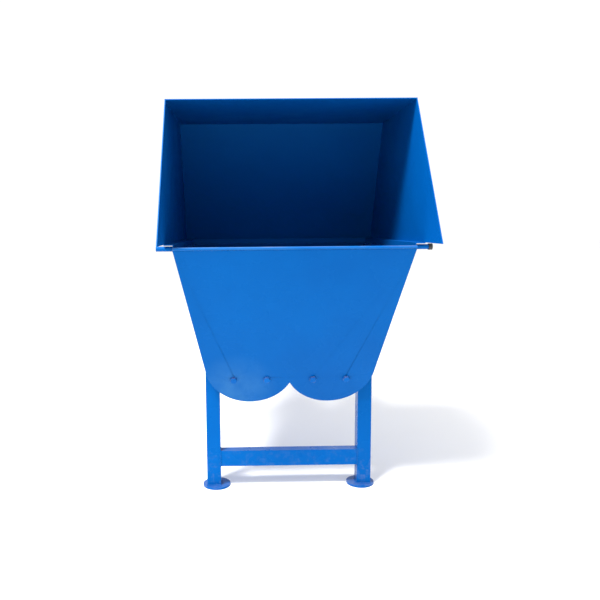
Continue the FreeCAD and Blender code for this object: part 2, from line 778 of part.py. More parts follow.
duct_outer = block(
    "spout_outer",
    RIM,
    ("-spout_half_width", f"{SPOUT_BACK} - spout_depth", f"{SPOUT_Z} + flange_thickness"),
    ("spout_half_width", SPOUT_BACK, "hood_top"),
)
above_head = block(
    "above_head",
    SCREW,
    (f"-2 * {HEAD_HALF}", f"{HEAD_S} - head_length", HEAD_LOW),
    (f"2 * {HEAD_HALF}", f"{DRIVE_S} + head_length", "head_length"),
)
keep(minus("discharge_spout", duct_outer, [spout_hole, above_head]), "discharge_spout")
flange = block(
    "spout_flange_outer",
    RIM,
    ("-spout_half_width - flange_width", f"{SPOUT_BACK} - spout_depth - flange_width", SPOUT_Z),
    ("spout_half_width + flange_width", f"{SPOUT_BACK} + flange_width", f"{SPOUT_Z} + flange_thickness"),
)
FLANGE_HOLE_X = ("-spout_half_width - flange_width / 2", "spout_half_width + flange_width / 2")
FLANGE_HOLE_Y = (f"{SPOUT_BACK} - spout_depth - flange_width / 2", f"{SPOUT_BACK} + flange_width / 2")
flange_holes = [
    solid(
        "Part::Cylinder",
        f"spout_flange_hole_{x_index}_{y_index}",
        place(RIM, x, y, f"{SPOUT_Z} - 1"),
        Radius="flange_hole",
        Height="flange_thickness + 2",
    )
    for x_index, x in enumerate(FLANGE_HOLE_X)
    for y_index, y in enumerate(FLANGE_HOLE_Y)
]
keep(minus("spout_flange", flange, [spout_hole] + flange_holes), "spout_flange")

# ---- drive --------------------------------------------------------------------------------------

drive_wall = block(
    "drive_plate_outer",
    SCREW,
    (f"-{DRIVE_HALF}", DRIVE_S, f"-{SHAFT_DROP} - {DRIVE_BELOW}"),
    (DRIVE_HALF, BEARING_S, f"-{SHAFT_DROP} + {DRIVE_ABOVE}"),
)
drive_holes = [
    drilled(f"drive_hole_{side}", mirrored_x(sign, SHAFT_X), DRIVE_S, SHAFT_N, "insert_collar", "drive_plate")
    for side, sign in SIDES
]
drive_holes += [
    drilled(f"drive_bolt_hole_{i}", x, DRIVE_S, SHAFT_N, BOLT_HOLE, "drive_plate")
    for i, x in enumerate(bolt_places)
]
spigot = "motor_shaft_radius + motor_spigot_gap"
drive_holes.append(drilled("motor_hole", SHAFT_X, DRIVE_S, MOTOR_N, spigot, "drive_plate"))
keep(minus("drive_plate", drive_wall, drive_holes), "drive_plate")


# A tooth's proportions: its depth below the pitch circle in modules, and half its width at the root
# and at the tip in quarters of the tooth spacing.
ROOT_DEPTH = 1.25
ROOT_HALF = 1.55
TIP_HALF = 0.5


def gear_outline(first_turn):
    """A spur gear's toothed edge: straight-flanked teeth that thin toward their tips."""
    teeth = int(val("gear_teeth"))
    module = val("gear_module")
    pitch_radius = module * teeth / 2
    root, tip = pitch_radius - ROOT_DEPTH * module, pitch_radius + module
    thin = val("gear_backlash") / pitch_radius / 2
    quarter = math.pi / teeth / 2
    root_half = ROOT_HALF * quarter - thin
    tip_half = TIP_HALF * quarter
    corners = []
    for tooth in range(teeth):
        middle = first_turn + 2 * math.pi * tooth / teeth
        for angle, radius in ((-root_half, root), (-tip_half, tip), (tip_half, tip), (root_half, root)):
            turn = middle + angle
            corners.append(FreeCAD.Vector(radius * math.cos(turn), 0, radius * math.sin(turn)))
    return Part.Face(Part.makePolygon(corners + corners[:1]))


for side, sign in SIDES:
    # The right gear has a tooth on the line between the shafts and the left gear has a gap there.
    half_tooth = math.pi / val("gear_teeth")
    blank = gear_outline(half_tooth if sign < 0 else math.pi).extrude(FreeCAD.Vector(0, val("gear_width"), 0))
    bore = Part.makeCylinder(
        val("shaft_radius + running_gap"), val("gear_width"), FreeCAD.Vector(), FreeCAD.Vector(0, 1, 0)
    )
    gear = doc.addObject("Part::Feature", f"screw_gear_{side}")
    gear.Shape = blank.cut(bore)
    gear.Placement = shaft_frame(sign, GEAR_S)
    keep(gear, f"screw_gear_{side}")


def pulley(label, frame, radius, bore):
    """A one-groove belt pulley."""
    middle = "pulley_width / 2"
    outline = [
        ("0", bore),
        ("pulley_width", bore),
        ("pulley_width", radius),
        (f"{middle} + belt_top / 2 + seat_gap", radius),
        (f"{middle} + belt_land / 2 + seat_gap", f"({radius}) - belt_height - groove_floor"),
        (f"{middle} - belt_land / 2 - seat_gap", f"({radius}) - belt_height - groove_floor"),
        (f"{middle} - belt_top / 2 - seat_gap", radius),
        ("0", radius),
    ]
    return keep(turned(label, frame, outline), label)


pulley("screw_pulley", shaft_frame(1, PULLEY_S), "auger_pulley_radius", "shaft_radius + running_gap")
MOTOR_LINE = place(SCREW, SHAFT_X, "0", MOTOR_N)
motor_pulley_frame = place(SCREW, SHAFT_X, PULLEY_S, MOTOR_N)
pulley("motor_pulley", motor_pulley_frame, "motor_pulley_radius", "motor_shaft_radius + running_gap")


def belt_loop(inset):
    """The closed path of the belt round both pulleys, set in from their rims."""
    low, high = val("auger_pulley_radius") - inset, val("motor_pulley_radius") - inset
    rise = val(MOTOR_RISE)
    lean = math.asin((low - high) / rise)
    side_x, side_z = math.cos(lean), math.sin(lean)
    start = FreeCAD.Vector(low * side_x, 0, low * side_z)
    end = FreeCAD.Vector(high * side_x, 0, rise + high * side_z)
    far_start = FreeCAD.Vector(-start.x, 0, start.z)
    far_end = FreeCAD.Vector(-end.x, 0, end.z)
    over = Part.Arc(end, FreeCAD.Vector(0, 0, rise + high), far_end).toShape()
    under = Part.Arc(far_start, FreeCAD.Vector(0, 0, -low), start).toShape()
    sides = [Part.LineSegment(start, end).toShape(), Part.LineSegment(far_end, far_start).toShape()]
    return Part.Face(Part.Wire([sides[0], over, sides[1], under]))


belt = doc.addObject("Part::Feature", "drive_belt")
belt_width = FreeCAD.Vector(0, val("belt_land"), 0)
outer_loop = belt_loop(val("belt_inset"))
inner_loop = belt_loop(val("belt_inset + belt_height"))
belt.Shape = outer_loop.cut(inner_loop).extrude(belt_width)
belt.Placement = shaft_frame(1, f"{PULLEY_S} + pulley_width / 2 - belt_land / 2")
keep(belt, "drive_belt")

MOTOR_FACE = f"({DRIVE_S} - seat_gap)"
MOTOR_START = f"({MOTOR_FACE} - motor_flange - motor_length)"
motor_outline = [
    (MOTOR_START, "motor_shaft_radius + motor_seal_gap"),
    (MOTOR_FACE, "motor_shaft_radius + motor_seal_gap"),
    (MOTOR_FACE, "motor_flange_radius"),
    (f"{MOTOR_FACE} - motor_flange", "motor_flange_radius"),
    (f"{MOTOR_FACE} - motor_flange", "motor_radius"),
    (MOTOR_START, "motor_radius"),
]
keep(turned("motor_body", MOTOR_LINE, motor_outline), "motor_body")
fan_outline = [
    (f"{MOTOR_START} - fan_cover_length", "0"),
    (f"{MOTOR_START} - fan_cover_length + sheet", "0"),
    (f"{MOTOR_START} - fan_cover_length + sheet", "motor_radius - sheet"),
    (MOTOR_START, "motor_radius - sheet"),
    (MOTOR_START, "motor_radius"),
    (f"{MOTOR_START} - fan_cover_length", "motor_radius"),
]
keep(turned("motor_fan_cover", MOTOR_LINE, fan_outline), "motor_fan_cover")
shaft_outline = [
    (f"{MOTOR_START} - motor_shaft_tail", "0"),
    (f"{PULLEY_S} + pulley_width + motor_shaft_proud", "0"),
    (f"{PULLEY_S} + pulley_width + motor_shaft_proud", "motor_shaft_radius"),
    (f"{MOTOR_START} - motor_shaft_tail", "motor_shaft_radius"),
]
keep(turned("motor_shaft", MOTOR_LINE, shaft_outline), "motor_shaft")
TERMINAL_S = f"({MOTOR_START} + terminal_start)"
MOTOR_TOP = f"({MOTOR_N} + motor_radius)"
terminal = block(
    "terminal_box",
    SCREW,
    (f"{SHAFT_X} - terminal_width / 2", TERMINAL_S, f"{MOTOR_TOP} + seat_gap"),
    (f"{SHAFT_X} + terminal_width / 2", f"{TERMINAL_S} + terminal_width", f"{MOTOR_TOP} + terminal_height"),
)
keep(terminal, "terminal_box")

GUARD_LOW = (f"-{DRIVE_HALF}", BEARING_S, f"-{SHAFT_DROP} - {DRIVE_BELOW}")
GUARD_HIGH = (DRIVE_HALF, GUARD_S, f"-{SHAFT_DROP} + {DRIVE_ABOVE}")
guard_outer = block("drive_guard_outer", SCREW, GUARD_LOW, GUARD_HIGH)
guard_inner = block(
    "drive_guard_inner",
    SCREW,
    (f"{GUARD_LOW[0]} + guard_sheet", f"{BEARING_S} - guard_sheet", f"{GUARD_LOW[2]} + guard_sheet"),
    (f"{GUARD_HIGH[0]} - guard_sheet", f"{GUARD_HIGH[1]} - guard_sheet", f"{GUARD_HIGH[2]} - guard_sheet"),
)
keep(minus("drive_guard", guard_outer, [guard_inner]), "drive_guard")

# ---- legs ---------------------------------------------------------------------------------------


def square_tube(name, frame, low, high, along):
    """A square or rectangular tube, open at both ends of the way it runs."""
    outer = block(name + "_outer", frame, low, high)
    inner_low = [edge if way == along else f"({edge}) + leg_wall" for way, edge in enumerate(low)]
    inner_high = [edge if way == along else f"({edge}) - leg_wall" for way, edge in enumerate(high)]
    return outer, block(name + "_inner", frame, inner_low, inner_high)


def leg_span(sign):
    """The two sides of a leg across the machine, low first."""
    if sign > 0:
        return f"{LEG_OUTER} - leg_side", LEG_OUTER
    return f"-{LEG_OUTER}", f"-{LEG_OUTER} + leg_side"


FLOOR = "(foot_thickness - rim_height)"
for side, sign in SIDES:
    low_x, high_x = leg_span(sign)
    outer, inner = square_tube(
        f"front_leg_{side}",
        RIM,
        (low_x, "front_leg_back", FLOOR),
        (high_x, "front_leg_back + leg_side", "-front_leg_drop"),
        2,
    )
    cope = rod(
        f"front_leg_{side}_cope",
        SCREW,
        mirrored_x(sign, SHAFT_X),
        "0",
        "-lobe_drop",
        f"{TROUGH_RADIUS} + seat_gap",
        REAR_PLATE_S,
    )
    plate_cope = rod(
        f"front_leg_{side}_plate_cope",
        SCREW,
        mirrored_x(sign, SHAFT_X),
        "-plate_thickness",
        "-lobe_drop",
        f"{LOBE_RADIUS} + seat_gap",
        "2 * plate_thickness + seat_gap",
    )
    keep(minus(f"front_leg_{side}", outer, [inner, cope, plate_cope]), f"front_leg_{side}")
    outer, inner = square_tube(
        f"rear_leg_{side}",
        RIM,
        (low_x, REAR_LEG, FLOOR),
        (high_x, f"{REAR_LEG} + leg_side", f"{BEAM_TOP} - leg_side"),
        2,
    )
    keep(minus(f"rear_leg_{side}", outer, [inner]), f"rear_leg_{side}")

for label, back in (("front_crossbar", "front_leg_back"), ("rear_crossbar", REAR_LEG)):
    base = f"{label}_low - rim_height"
    outer, inner = square_tube(
        label,
        RIM,
        (f"-{LEG_OUTER} + leg_side", back, base),
        (f"{LEG_OUTER} - leg_side", f"{back} + crossbar_deep", f"{base} + crossbar_tall"),
        0,
    )
    keep(minus(label, outer, [inner]), label)
outer, inner = square_tube(
    "rear_beam",
    RIM,
    (f"-{LEG_OUTER}", REAR_LEG, f"{BEAM_TOP} - leg_side"),
    (LEG_OUTER, f"{REAR_LEG} + leg_side", BEAM_TOP),
    0,
)
keep(minus("rear_beam", outer, [inner]), "rear_beam")

for row, back in (("front", "front_leg_back"), ("rear", REAR_LEG)):
    for side, sign in SIDES:
        centre = f"({LEG_OUTER} - leg_side / 2 - foot_inset)"
        spot = place(RIM, mirrored_x(sign, centre), f"{back} + leg_side / 2", "-rim_height")
        label = f"{row}_foot_{side}"
        foot = solid("Part::Cylinder", label, spot, Radius="foot_radius", Height="foot_thickness")
        keep(foot, label)

# An upright plate on the rear beam holds both tubes from below.
saddle_low = (f"-{HEAD_HALF}", SADDLE_Y, BEAM_TOP)
saddle_high = (HEAD_HALF, f"{SADDLE_Y} + saddle_thickness", SADDLE_TOP)
saddle_plate = block("saddle_plate", RIM, saddle_low, saddle_high)
SADDLE_HOLE = f"{TUBE_OUTER} + seat_gap"
saddle_cuts = [
    drilled(f"saddle_cut_{side}", mirrored_x(sign, SHAFT_X), SADDLE_S, SHAFT_N, SADDLE_HOLE, TUBE_OUTER)
    for side, sign in SIDES
]
keep(minus("tube_saddle", saddle_plate, saddle_cuts), "tube_saddle")

# ---- check and write ----------------------------------------------------------------------------

doc.recompute()
faults = [piece.Name for piece in doc.Objects if {"Invalid", "Error"} & set(piece.State)]
faults += [label for label, piece in nodes.items() if piece.Shape.isNull() or not piece.Shape.isValid()]
if faults:
    raise RuntimeError("failed objects: " + ", ".join(faults))

os.makedirs("parts", exist_ok=True)
for label, piece in nodes.items():
    piece.Shape.exportStep(f"parts/{label}.step")
    print(f"{label:30s} solids {len(piece.Shape.Solids)} volume {piece.Shape.Volume / 1000:10.1f} cm3")
print(len(nodes), "nodes")
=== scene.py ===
import json
import math

import bmesh
import bpy
from mathutils import Matrix, Vector


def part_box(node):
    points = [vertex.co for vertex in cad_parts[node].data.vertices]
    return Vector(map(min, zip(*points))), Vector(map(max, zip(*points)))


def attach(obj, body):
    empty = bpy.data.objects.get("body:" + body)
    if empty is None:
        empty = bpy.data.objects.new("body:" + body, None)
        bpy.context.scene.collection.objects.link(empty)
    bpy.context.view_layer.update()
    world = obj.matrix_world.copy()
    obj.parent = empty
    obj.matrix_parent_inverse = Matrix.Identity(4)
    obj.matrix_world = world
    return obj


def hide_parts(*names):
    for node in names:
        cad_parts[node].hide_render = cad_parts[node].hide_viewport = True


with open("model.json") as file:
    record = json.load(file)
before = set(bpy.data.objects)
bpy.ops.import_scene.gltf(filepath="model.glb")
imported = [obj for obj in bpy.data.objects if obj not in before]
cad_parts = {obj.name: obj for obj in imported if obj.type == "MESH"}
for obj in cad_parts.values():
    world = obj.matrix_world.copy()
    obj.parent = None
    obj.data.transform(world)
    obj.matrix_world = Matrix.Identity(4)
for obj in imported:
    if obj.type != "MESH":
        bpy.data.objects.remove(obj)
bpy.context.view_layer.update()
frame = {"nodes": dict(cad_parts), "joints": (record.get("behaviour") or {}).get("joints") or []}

# ---- camera, floor and light --------------------------------------------------------------------
# The machine stands alone on a pale studio floor under one even white sky. One warm softbox, high in
# front and to the left, lights all of it and reaches under the hood to its right wall.

plate_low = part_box("front_plate")[0]
collar_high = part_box("rim_collar")[1]
COLLAR_HEIGHT = 0.019
rim = Vector((0, plate_low.y, collar_high.z - COLLAR_HEIGHT))

camera = bpy.data.objects.new("camera", bpy.data.cameras.new("camera"))
bpy.context.scene.collection.objects.link(camera)
CAMERA_TURN, CAMERA_PITCH, CAMERA_ROLL = 0.014, 0.1181, -0.0091
camera.location = rim + Vector((-0.168, -1.927, 0.074))
turn = Matrix.Rotation(-CAMERA_TURN, 4, "Z") @ Matrix.Rotation(math.pi / 2 - CAMERA_PITCH, 4, "X")
camera.matrix_world = Matrix.Translation(camera.location) @ turn @ Matrix.Rotation(CAMERA_ROLL, 4, "Z")
camera.data.lens = 37.28
camera.data.shift_x = 0.0833
bpy.context.scene.camera = camera
bpy.context.scene.view_settings.view_transform = "Standard"

FLOOR_RADIUS = 40
floor_mesh = bmesh.new()
bmesh.ops.create_circle(floor_mesh, cap_ends=True, segments=96, radius=FLOOR_RADIUS)
floor_data = bpy.data.meshes.new("studio_floor")
floor_mesh.to_mesh(floor_data)
floor = bpy.data.objects.new("studio_floor", floor_data)
bpy.context.scene.collection.objects.link(floor)


def node(tree, kind, inputs=None, **settings):
    """One shader node: a socket given as an input is linked, anything else is set on the socket."""
    made = tree.nodes.new(kind)
    for name, value in settings.items():
        setattr(made, name, value)
    for name, value in (inputs or {}).items():
        if isinstance(value, bpy.types.NodeSocket):
            tree.links.new(value, made.inputs[name])
        else:
            made.inputs[name].default_value = value
    return made


def new_material(name):
    """An empty material with its shader joined to the output."""
    material = bpy.data.materials.new(name)
    material.use_nodes = True
    tree = material.node_tree
    tree.nodes.clear()
    shader = node(tree, "ShaderNodeBsdfPrincipled")
    node(tree, "ShaderNodeOutputMaterial", {"Surface": shader.outputs["BSDF"]})
    return material, tree, shader


def noise(tree, coordinates, scale, detail=3.0, roughness=0.55, stretch=(1, 1, 1)):
    """A grey noise from 0 to 1, drawn out along some directions."""
    if stretch != (1, 1, 1):
        coordinates = node(
            tree, "ShaderNodeVectorMath", {0: coordinates, 1: stretch}, operation="MULTIPLY"
        ).outputs[0]
    sizes = {"Vector": coordinates, "Scale": scale, "Detail": detail, "Roughness": roughness}
    return node(tree, "ShaderNodeTexNoise", sizes).outputs["Fac"]


def spread(tree, value, low, high, to_low=0.0, to_high=1.0):
    """A value stretched from one range to another, and kept inside it."""
    ends = {"Value": value, "From Min": low, "From Max": high, "To Min": to_low, "To Max": to_high}
    return node(tree, "ShaderNodeMapRange", ends).outputs["Result"]


def mixed(tree, factor, first, second):
    """One colour laid over another by a factor."""
    mix = node(tree, "ShaderNodeMix", {0: factor, 6: first, 7: second}, data_type="RGBA")
    return mix.outputs[2]


def times(tree, *values):
    """Several values multiplied."""
    product = values[0]
    for value in values[1:]:
        product = node(tree, "ShaderNodeMath", {0: product, 1: value}, operation="MULTIPLY").outputs[0]
    return product


floor_paint, tree, shader = new_material("studio_floor_paint")
place = node(tree, "ShaderNodeTexCoord").outputs["Object"]
patches = spread(tree, noise(tree, place, 1.5), 0.3, 0.7)
floor_colour = mixed(tree, patches, (0.955, 0.955, 0.955, 1), (0.975, 0.975, 0.975, 1))
tree.links.new(floor_colour, shader.inputs["Base Color"])
shader.inputs["Roughness"].default_value = 0.9
shader.inputs["Specular IOR Level"].default_value = 0.1
floor_data.materials.append(floor_paint)

world = bpy.data.worlds.new("studio")
bpy.context.scene.world = world
world.use_nodes = True
world.node_tree.nodes["Background"].inputs["Color"].default_value = (1.0, 1.0, 1.0, 1)
world.node_tree.nodes["Background"].inputs["Strength"].default_value = 1.06

# Along the key's way each metre of fall carries it this far to the right and to the back.
KEY_FALL = Vector((0.55, 0.45, -1.0)).normalized()
KEY_DISTANCE, KEY_HEIGHT = 5.0, 0.2
roof_low, roof_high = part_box("hood_roof")
key_target = Vector((roof_high.x, rim.y, rim.z + KEY_HEIGHT))
key = bpy.data.objects.new("key_softbox", bpy.data.lights.new("key_softbox", "AREA"))
key.data.energy = 620
key.data.color = (1.0, 0.98, 0.95)
key.data.size = 1.4
key.location = key_target - KEY_FALL * KEY_DISTANCE
key.rotation_mode = "QUATERNION"
key.rotation_quaternion = KEY_FALL.to_track_quat("-Z", "Y")
bpy.context.scene.collection.objects.link(key)

# ---- hopper -------------------------------------------------------------------------------------
# The hopper's end plates are cut from 5 mm steel and its walls and troughs are rolled and folded
# from 3 mm sheet. They are welded along the inside corners and sprayed with one gloss blue enamel.

along = Vector(frame["joints"][0]["axis"]).normalized()
across = Vector((1, 0, 0))
square = across.cross(along)
PLATE, SHEET = 0.005, 0.003
SHAFT = Vector(frame["joints"][0]["pos_m"]) - rim
SHAFT_X, SHAFT_DROP = SHAFT.x, -SHAFT.dot(square)


def at(x, s, n):
    """A point given across the machine, along the screws and square to them."""
    return rim + across * x + along * s + square * n


BLUE = (0.0, 0.080, 0.32, 1)
DEEP_BLUE = (0.0, 0.066, 0.28, 1)
# A paler blue, painted as a highlight along the rim bar and as a reflection on the front plate's lower left
# lobe.
PAINTED_HIGHLIGHT_BLUE = (0.025, 0.125, 0.34, 1)
CHIPPED_STEEL = (0.16, 0.14, 0.13, 1)
FIELD_DUST = (0.30, 0.27, 0.21, 1)


def edge_wear(tree, place, width, amount):
    """A broken mask along sharp edges, where the finish has been knocked off."""
    rounded = node(tree, "ShaderNodeBevel", {"Radius": width}, samples=4).outputs["Normal"]
    flat = node(tree, "ShaderNodeNewGeometry").outputs["Normal"]
    facing = node(tree, "ShaderNodeVectorMath", {0: rounded, 1: flat}, operation="DOT_PRODUCT")
    near_edge = spread(tree, facing.outputs["Value"], 0.97, 0.80)
    broken = spread(tree, noise(tree, place, 70, 4), 0.62 - 0.1 * amount, 0.68 - 0.1 * amount)
    return times(tree, near_edge, broken, amount)


def enamel(name, colour, shade, wear=0.35, dust=0.14, gloss=0.26, waves=0.08, painted_reflection=None):
    """Gloss enamel on steel: patchy film, runs, orange peel, settled dust and chipped edges, and optionally
    a paler patch round a point that is a painted reflection.
    """
    material, tree, shader = new_material(name)
    place = node(tree, "ShaderNodeTexCoord").outputs["Object"]
    normal = node(tree, "ShaderNodeNewGeometry").outputs["Normal"]
    film = spread(tree, noise(tree, place, 3.2, 4), 0.3, 0.7)
    runs = spread(tree, noise(tree, place, 22, 3, stretch=(1, 1, 0.12)), 0.35, 0.75)
    coloured = mixed(tree, film, colour, shade)
    coloured = mixed(tree, times(tree, runs, 2 * waves), coloured, shade)
    up = node(tree, "ShaderNodeSeparateXYZ", {0: normal}).outputs["Z"]
    # A paler blue patch round a point, broken by noise, is a painted reflection, not wear.
    if painted_reflection:
        centre, radius = painted_reflection
        away = node(tree, "ShaderNodeVectorMath", {0: place, 1: centre}, operation="DISTANCE")
        within = spread(tree, away.outputs["Value"], radius, radius * 0.2)
        reflection_mask = times(tree, within, spread(tree, noise(tree, place, 16, 5), 0.2, 0.8))
        coloured = mixed(tree, reflection_mask, coloured, PAINTED_HIGHLIGHT_BLUE)
    settled = spread(tree, noise(tree, place, 14, 5), 0.35, 0.75)
    lying = times(tree, spread(tree, up, 0.25, 0.95), settled, dust)
    height = node(tree, "ShaderNodeSeparateXYZ", {0: place}).outputs["Z"]
    spots = spread(tree, noise(tree, place, 60, 5), 0.5, 0.68)
    splash = times(tree, spread(tree, height, 0.16, 0.0), spots, dust)
    dusted = mixed(tree, lying, coloured, FIELD_DUST)
    dusted = mixed(tree, splash, dusted, FIELD_DUST)
    chipped = edge_wear(tree, place, 0.0025, wear)
    tree.links.new(mixed(tree, chipped, dusted, CHIPPED_STEEL), shader.inputs["Base Color"])
    rubbed = spread(tree, noise(tree, place, 9, 4), 0.3, 0.7, gloss - 0.05, gloss + 0.08)
    dull = node(tree, "ShaderNodeMath", {0: lying, 1: chipped}, operation="ADD").outputs[0]
    rough = node(tree, "ShaderNodeMath", {0: times(tree, dull, 0.4), 1: rubbed}, operation="ADD")
    tree.links.new(rough.outputs[0], shader.inputs["Roughness"])
    shader.inputs["Specular IOR Level"].default_value = 0.22
    shader.inputs["Specular Tint"].default_value = (0.12, 0.62, 1.0, 1)
    peel = noise(tree, place, 420, 2)
    wavy = noise(tree, place, 6, 2)
    sheet_waves = node(tree, "ShaderNodeBump", {"Height": wavy, "Strength": waves, "Distance": 0.01})
    skin = node(
        tree,
        "ShaderNodeBump",
        {"Height": peel, "Strength": 0.08, "Distance": 0.0004, "Normal": sheet_waves.outputs["Normal"]},
    )
    lost = node(
        tree,
        "ShaderNodeBump",
        {"Height": chipped, "Strength": 0.5, "Distance": 0.0004, "Normal": skin.outputs["Normal"]},
        invert=True,
    )
    tree.links.new(lost.outputs["Normal"], shader.inputs["Normal"])
    return material


blue_enamel = enamel("blue_enamel", BLUE, DEEP_BLUE)


def finish_nodes(names, material):
    """Gives CAD nodes their finish."""
    for name in names:
        frame["nodes"][name].material_slots[0].material = material


def ease_edges(names, width, segments=2):
    """Rounds the sharp edges of CAD nodes a little, as a grinder and thick paint leave them."""
    for name in names:
        piece = frame["nodes"][name]
        join = piece.modifiers.new("join_facets", "WELD")
        join.merge_threshold = 0.00002
        ease = piece.modifiers.new("ease_edges", "BEVEL")
        ease.width = width
        ease.segments = segments
        ease.limit_method = "ANGLE"
        ease.angle_limit = math.radians(40)
        ease.harden_normals = True


HOPPER_SHEETS = [
    "hopper_rear_plate", "front_rim_bar",
    "trough_left", "trough_right", "hopper_side_left", "hopper_side_right",
]
finish_nodes(HOPPER_SHEETS, blue_enamel)
LOBE_DROP, TROUGH_INSIDE = 0.456, 0.151
# The paler patch on the front plate's lower left lobe is a painted reflection of the floor, not rubbed
# paint.
lobe_edge = at(-SHAFT_X - 0.05, 0, -LOBE_DROP - 0.09)
finish_nodes(["front_plate"], enamel("plate_enamel_painted_reflection", BLUE, DEEP_BLUE, painted_reflection=(lobe_edge, 0.15)))
ease_edges(["front_plate", "hopper_rear_plate"], 0.0009)


def add_mesh(name, mesh, material, body):
    """Turns finished mesh code into a piece that rides on a body."""
    data = bpy.data.meshes.new(name)
    bmesh.ops.recalc_face_normals(mesh, faces=mesh.faces)
    mesh.to_mesh(data)
    mesh.free()
    data.materials.append(material)
    piece = bpy.data.objects.new(name, data)
    bpy.context.scene.collection.objects.link(piece)
    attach(piece, body)
    return piece


BEAD_STEP = 0.0028
BEAD_SIDES = 7


def lay_bead(mesh, points, radius, closed=False, ripple=0.18):
    """A weld bead along a path: a round cord whose ripples are the welder's steps."""
    spots = []
    ends = list(zip(points, points[1:] + points[:1])) if closed else list(zip(points, points[1:]))
    for start, end in ends:
        steps = max(1, round((end - start).length / BEAD_STEP))
        spots += [start.lerp(end, step / steps) for step in range(steps)]
    if not closed:
        spots.append(points[-1])
    rings = []
    for index, spot in enumerate(spots):
        before = spots[index - 1] if index or closed else spot
        after = spots[(index + 1) % len(spots)] if index + 1 < len(spots) or closed else spot
        heading = (after - before).normalized()
        side = heading.orthogonal().normalized()
        up = heading.cross(side)
        swell = radius * (1 - ripple * (index % 2) + 0.4 * ripple * math.sin(index * 1.7))
        ring = []
        for corner in range(BEAD_SIDES):
            angle = 2 * math.pi * corner / BEAD_SIDES
            out = side * swell * math.cos(angle) + up * swell * math.sin(angle)
            ring.append(mesh.verts.new(spot + out))
        rings.append(ring)
    pairs = list(zip(rings, rings[1:] + rings[:1])) if closed else list(zip(rings, rings[1:]))
    for low, high in pairs:
        offset = min(range(BEAD_SIDES), key=lambda turn: (high[turn].co - low[0].co).length)
        for corner in range(BEAD_SIDES):
            following = (corner + 1) % BEAD_SIDES
            mesh.faces.new((
                low[corner], low[following],
                high[(following + offset) % BEAD_SIDES], high[(corner + offset) % BEAD_SIDES],
            ))
    if not closed:
        mesh.faces.new(rings[0])
        mesh.faces.new(rings[-1])


def arc_points(centre, first, second, radius, start, end, count):
    """Points of an arc in the plane of two directions, angles in degrees."""
    turns = [math.radians(start + (end - start) * step / count) for step in range(count + 1)]
    return [centre + (first * math.cos(turn) + second * math.sin(turn)) * radius for turn in turns]


# The weld material is the same enamel over a rough bead.
bead_enamel = enamel("bead_enamel", BLUE, DEEP_BLUE, wear=0.3, gloss=0.34)
REAR_S = 0.7291

hopper_welds = bmesh.new()
for sign in (-1, 1):
    for s in (PLATE, REAR_S):
        lean = across * sign
        centre = at(SHAFT_X * sign, s, -LOBE_DROP)
        lay_bead(hopper_welds, arc_points(centre, lean, square, TROUGH_INSIDE, -10, -158, 26), 0.003)
    low = at(sign * (SHAFT_X + TROUGH_INSIDE * 0.985), PLATE, -LOBE_DROP - TROUGH_INSIDE * 0.174)
    lay_bead(hopper_welds, [low, at(sign * 0.377, PLATE, -0.003)], 0.003)
add_mesh("hopper_corner_welds", hopper_welds, bead_enamel, "frame")

# ---- collar and hood ----------------------------------------------------------------------------
# A folded collar stands on the rim, and the hood's flat sheets stand on its ledge. Their corners are
# stitch-welded inside, and the whole hood is painted with the hopper.

HOOD_SHEETS = ["hood_side_left", "hood_side_right", "hood_back", "hood_roof", "rim_pins"]
hood_enamel = enamel("hood_enamel", BLUE, DEEP_BLUE, wear=0.1, dust=0.04, gloss=0.42, waves=0.02)
collar_enamel = enamel("collar_enamel", BLUE, DEEP_BLUE, wear=0.1, dust=0.02, gloss=0.55, waves=0.02)
# The rim bar's paler blue base is a painted highlight along its lit top edge; its heavy edge wear and dust
# are real.
rim_highlight_enamel = enamel("rim_painted_highlight_enamel", PAINTED_HIGHLIGHT_BLUE, BLUE, wear=0.9, dust=0.3, gloss=0.4)
finish_nodes(HOOD_SHEETS, hood_enamel)
finish_nodes(["rim_collar"], collar_enamel)
finish_nodes(["front_rim_bar"], rim_highlight_enamel)
ease_edges(["rim_pins"], 0.0012)

HOOD_INSIDE = roof_high.x - SHEET
HOOD_TOP = roof_low.z - rim.z
LEDGE_BACK = collar_high.y - rim.y
BACK_LEAN = (LEDGE_BACK - (roof_high.y - rim.y)) / (HOOD_TOP - COLLAR_HEIGHT)


def hood_point(x, y, z):
    """A point across, behind and above the rim."""
    return rim + Vector((x, y, z))


# A bead under the ledge closes the joint between the collar and the hopper.
SEAM_X, SEAM_FRONT, SEAM_BACK = 0.3806, 0.0125, 0.8106
seam_weld = bmesh.new()
seam = [
    hood_point(-SEAM_X, SEAM_FRONT, 0.0001), hood_point(-SEAM_X, SEAM_BACK, 0.0001),
    hood_point(SEAM_X, SEAM_BACK, 0.0001), hood_point(SEAM_X, SEAM_FRONT, 0.0001),
]
lay_bead(seam_weld, seam, 0.0026)
add_mesh("rim_seam_weld", seam_weld, bead_enamel, "frame")


hood_welds = bmesh.new()
STITCH, SPACING = 0.035, 0.09


def stitches(mesh, start, end, radius):
    """Short welds with gaps between them."""
    length = (end - start).length
    count = max(1, int(length / SPACING))
    for index in range(count):
        middle = (index + 0.5) / count
        half = STITCH / 2 / length
        lay_bead(mesh, [start.lerp(end, middle - half), start.lerp(end, middle + half)], radius)


def back_y(z):
    """How far back the hood's leaning rear sheet is at a height."""
    return LEDGE_BACK - (z - COLLAR_HEIGHT) * BACK_LEAN - SHEET / math.cos(math.asin(along.z))


